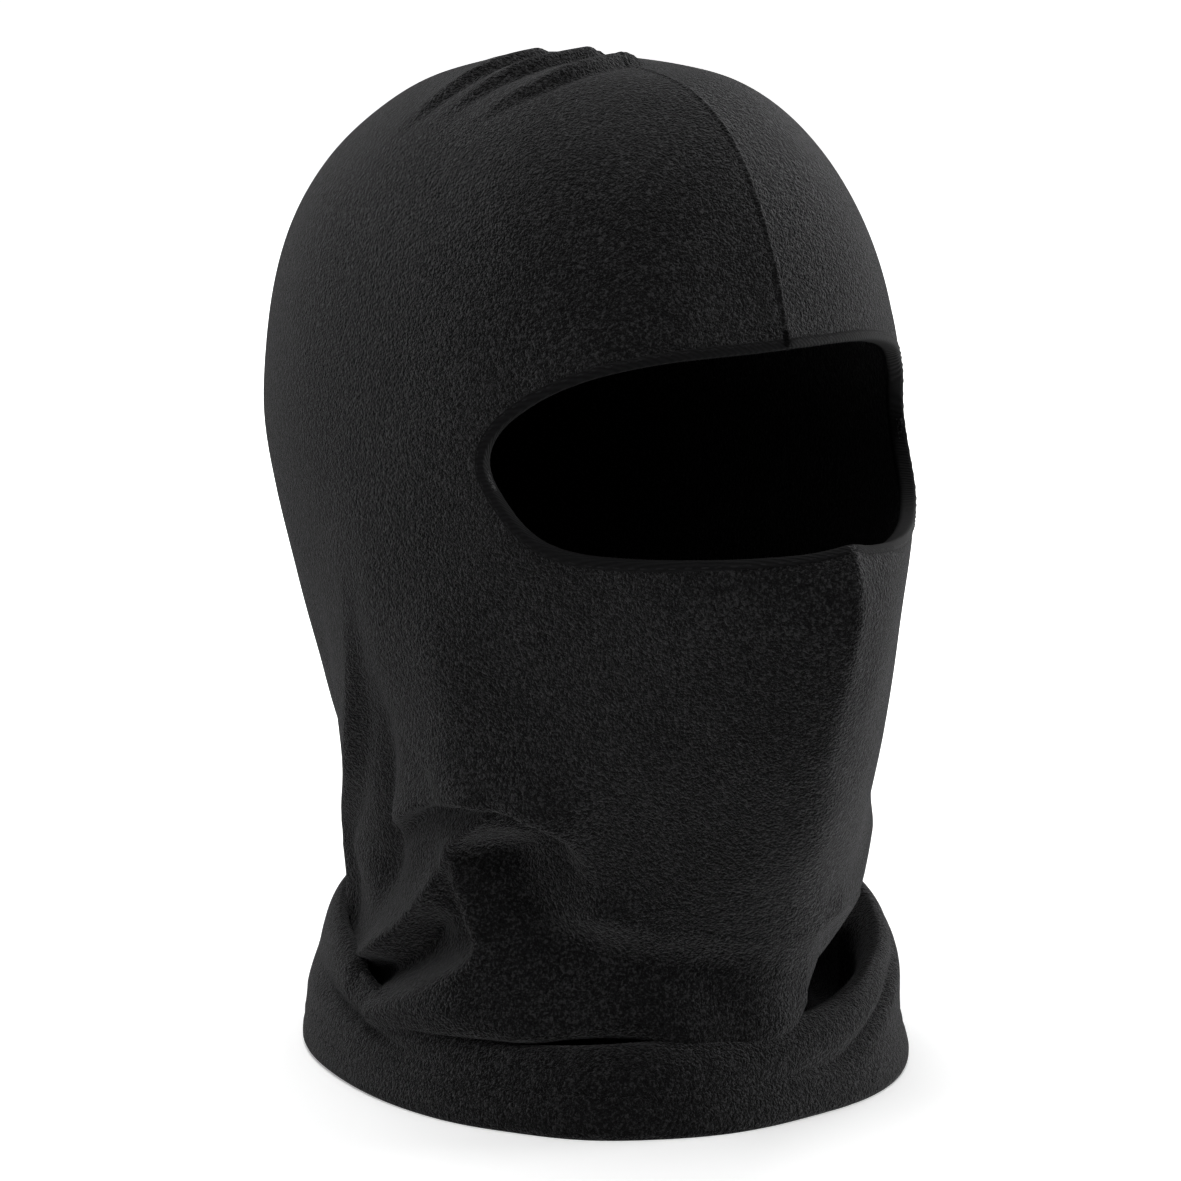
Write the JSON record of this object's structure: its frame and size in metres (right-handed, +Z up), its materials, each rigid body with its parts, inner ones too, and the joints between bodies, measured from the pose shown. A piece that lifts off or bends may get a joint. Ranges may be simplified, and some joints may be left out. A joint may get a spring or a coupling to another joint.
{
  "type": "balaclava",
  "caption": "Close-fitting fleece hood with one wide face opening, a centre seam over the crown and a long neck folded into a standing collar.",
  "frame": {"origin": "middle of the hood's footprint box, on the surface that the neck hem stands on", "axes": "+Z up towards the crown, the face looks along -Y, +X is the wearer's left"},
  "size_m": [0.166, 0.2336, 0.2791],
  "materials": {
    "fleece": "matte brushed black micro-fleece",
    "binding": "smooth black stretch knit",
    "elastic": "translucent elastic tape",
    "thread": "black polyester sewing thread",
    "label": "white woven satin, blank"
  },
  "bodies": {
    "hood": {"fleece_shell": "fleece", "face_opening_binding": "binding", "face_opening_elastic": "elastic", "binding_stitches": "thread", "brow_bartack": "thread", "centre_seam_overlock": "thread", "hem_needle_stitches": "thread", "hem_looper_thread": "thread"},
    "care_label": {"care_label": "label"}
  },
  "joints": [
    {"name": "care_label_swing", "type": "hinge", "parent": "hood", "child": "care_label", "pos_m": [0, 0.07696, 0.06783], "axis": [0, -0.3371, -0.9415], "range_deg": [0, 146]}
  ]
}
